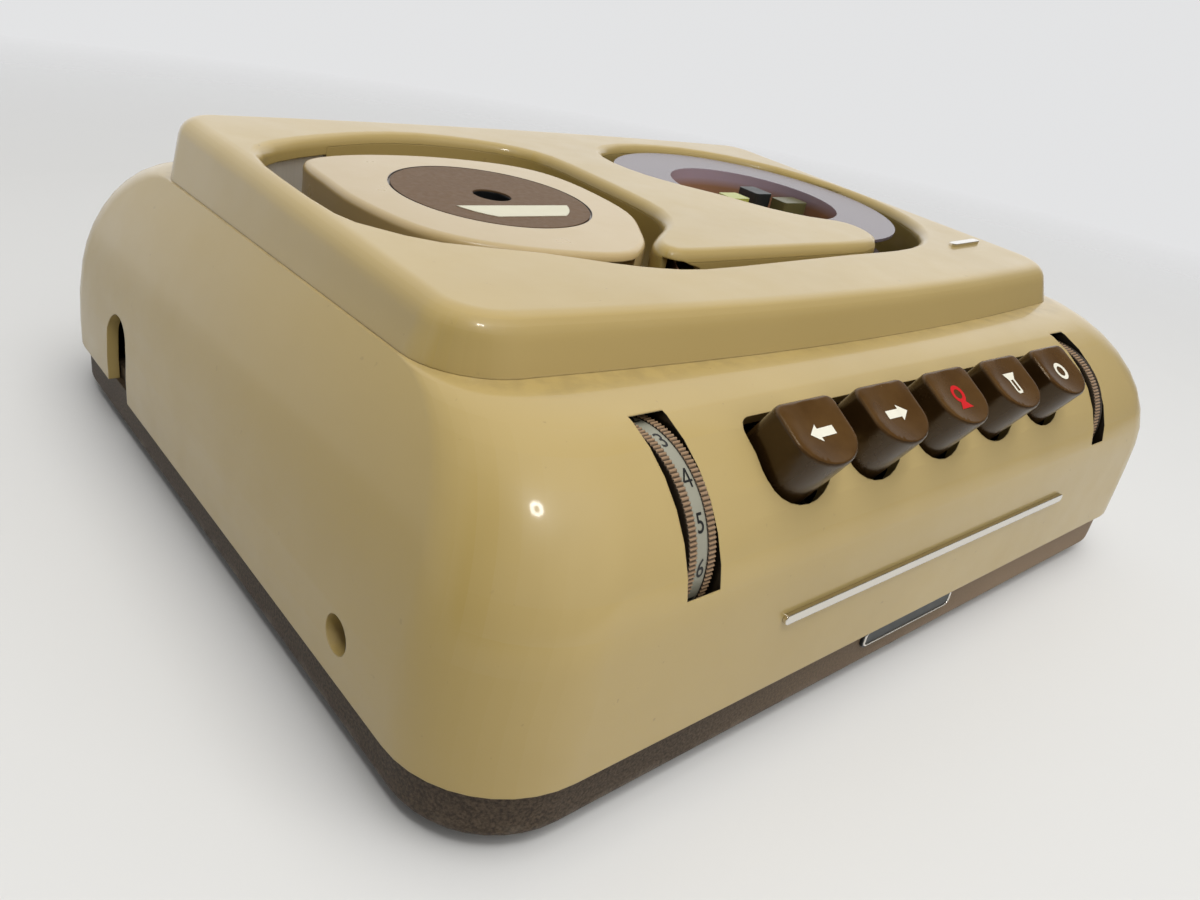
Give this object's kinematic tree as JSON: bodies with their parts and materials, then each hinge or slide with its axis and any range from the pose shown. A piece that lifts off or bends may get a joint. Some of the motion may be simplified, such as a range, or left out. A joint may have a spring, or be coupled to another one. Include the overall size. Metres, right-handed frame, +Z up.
{
  "type": "reel-to-reel tape recorder",
  "caption": "Desk tape recorder in tan plastic with a tape cassette and a take-up spool in two wells, brown keys in a row on the front roll and a thumbwheel at each end",
  "frame": {"origin": "middle of the footprint, on the table under the feet", "axes": "+X to the right seen from the keys, +Y to the back, +Z up"},
  "size_m": [0.264, 0.237, 0.0906],
  "materials": {
    "tan_plastic": "glossy moulded tan plastic",
    "brown_base": "mottled matt brown-grey",
    "key_brown": "glossy dark brown",
    "cream_plastic": "smooth cream plastic",
    "label_taupe": "printed taupe paper",
    "paper_white": "plain white",
    "bright_trim": "polished",
    "steel": "brushed",
    "aluminium_plate": "brushed",
    "brass_bearing": "turned",
    "rubber_black": "matt",
    "clear_lilac": "translucent lilac-grey",
    "tape_brown": "oxide brown",
    "green_plastic": "yellow-green",
    "olive_plastic": "olive",
    "dark_plastic": "black",
    "iron_core": "laminated",
    "board_brown": "hard paper",
    "valve_glass": "clear"
  },
  "bodies": {
    "chassis": {"base_tray": "brown_base", "rubber_feet": "rubber_black", "case_screws": "steel", "upper_shell": "tan_plastic", "top_cover": "tan_plastic", "well_walls": "tan_plastic", "front_trim": "bright_trim", "deck_trim": "bright_trim", "plate_blank": "dark_plastic", "deck_plate": "aluminium_plate", "deck_edge": "aluminium_plate", "deck_posts": "steel", "deck_screws": "steel", "deck_bearings": "brass_bearing", "drive_belt": "rubber_black", "reel_belts": "rubber_black", "motor_body": "iron_core", "motor_posts": "steel", "pinch_pivot": "steel", "playback_head": "steel", "erase_head": "steel", "tape_guides": "steel", "tape_run": "tape_brown", "key_frame": "steel", "key_springs": "steel", "volume_pot": "dark_plastic", "tone_pot": "dark_plastic", "transformer_core": "iron_core", "transformer_coil": "board_brown", "amplifier_board": "board_brown", "valves": "valve_glass", "connector_panel": "dark_plastic"},
    "rewind_key": {"rewind_key": "key_brown"},
    "forward_key": {"forward_key": "key_brown"},
    "record_key": {"record_key": "key_brown"},
    "speaker_key": {"speaker_key": "key_brown"},
    "stop_key": {"stop_key": "key_brown"},
    "volume": {"volume_wheel": "key_brown", "number_band": "paper_white"},
    "tone": {"tone_wheel": "key_brown"},
    "cassette": {"cassette_body": "cream_plastic", "cassette_lid": "cream_plastic", "cassette_label": "label_taupe", "label_strip": "paper_white"},
    "supply_reel": {"supply_hub": "dark_plastic", "supply_tape": "tape_brown"},
    "supply_drive": {"supply_spindle": "steel"},
    "takeup": {"takeup_spool": "clear_lilac", "takeup_floor": "tape_brown", "takeup_tape": "tape_brown", "hub_block_green": "green_plastic", "hub_block_dark": "dark_plastic", "hub_block_olive": "olive_plastic", "takeup_spindle": "steel"},
    "capstan": {"capstan_shaft": "steel", "flywheel": "steel"},
    "motor_rotor": {"motor_shaft": "steel"},
    "pinch_arm": {"pinch_arm": "steel"},
    "pinch_roller": {"pinch_roller": "rubber_black"}
  },
  "joints": [
    {"name": "rewind_key_press", "type": "slide", "parent": "chassis", "child": "rewind_key", "axis": [0, 0.515, -0.8572], "range_m": [0, 0.005], "stiffness_N_per_m": 200, "springref_m": -0.004},
    {"name": "forward_key_press", "type": "slide", "parent": "chassis", "child": "forward_key", "axis": [0, 0.515, -0.8572], "range_m": [0, 0.005], "stiffness_N_per_m": 200, "springref_m": -0.004},
    {"name": "record_key_press", "type": "slide", "parent": "chassis", "child": "record_key", "axis": [0, 0.515, -0.8572], "range_m": [0, 0.005], "stiffness_N_per_m": 200, "springref_m": -0.004},
    {"name": "speaker_key_press", "type": "slide", "parent": "chassis", "child": "speaker_key", "axis": [0, 0.515, -0.8572], "range_m": [0, 0.005], "stiffness_N_per_m": 200, "springref_m": -0.004},
    {"name": "stop_key_press", "type": "slide", "parent": "chassis", "child": "stop_key", "axis": [0, 0.515, -0.8572], "range_m": [0, 0.005], "stiffness_N_per_m": 200, "springref_m": -0.004},
    {"name": "volume_turn", "type": "hinge", "parent": "chassis", "child": "volume", "pos_m": [-0.0848, -0.09486, 0.04991], "axis": [1, 0, 0], "range_deg": [-135, 135]},
    {"name": "tone_turn", "type": "hinge", "parent": "chassis", "child": "tone", "pos_m": [0.0775, -0.09486, 0.04991], "axis": [1, 0, 0], "range_deg": [-135, 135]},
    {"name": "cassette_lift", "type": "slide", "parent": "chassis", "child": "cassette", "axis": [0, -0.0436, 0.999], "range_m": [0, 0.026]},
    {"name": "capstan_spin", "type": "hinge", "parent": "chassis", "child": "capstan", "pos_m": [0.012, -0.03103, 0.07614], "axis": [0, -0.0436, 0.999], "continuous": true},
    {"name": "motor_spin", "type": "hinge", "parent": "chassis", "child": "motor_rotor", "pos_m": [0, 0.04839, 0.0796], "axis": [0, -0.0436, 0.999], "continuous": true},
    {"name": "takeup_spin", "type": "hinge", "parent": "chassis", "child": "takeup", "pos_m": [0.054, 0.00743, 0.07781], "axis": [0, -0.0436, 0.999], "continuous": true},
    {"name": "supply_drive_spin", "type": "hinge", "parent": "chassis", "child": "supply_drive", "pos_m": [-0.0563, 0.00044, 0.07751], "axis": [0, -0.0436, 0.999], "continuous": true},
    {"name": "supply_reel_spin", "type": "hinge", "parent": "cassette", "child": "supply_reel", "pos_m": [-0.0563, 0.00044, 0.07751], "axis": [0, -0.0436, 0.999], "continuous": true},
    {"name": "pinch_swing", "type": "hinge", "parent": "chassis", "child": "pinch_arm", "pos_m": [-0.008, -0.04094, 0.0737], "axis": [0, -0.0436, 0.999], "range_deg": [0, 3.6]},
    {"name": "pinch_roller_spin", "type": "hinge", "parent": "pinch_arm", "child": "pinch_roller", "pos_m": [0.012, -0.03993, 0.07575], "axis": [0, -0.0436, 0.999], "continuous": true}
  ],
  "couplings": [
    {"joint": "motor_spin", "follows": "capstan_spin", "ratio": 4.3333},
    {"joint": "takeup_spin", "follows": "capstan_spin", "ratio": 0.4},
    {"joint": "supply_drive_spin", "follows": "capstan_spin", "ratio": 0.45},
    {"joint": "supply_reel_spin", "follows": "capstan_spin", "ratio": 0.45}
  ]
}
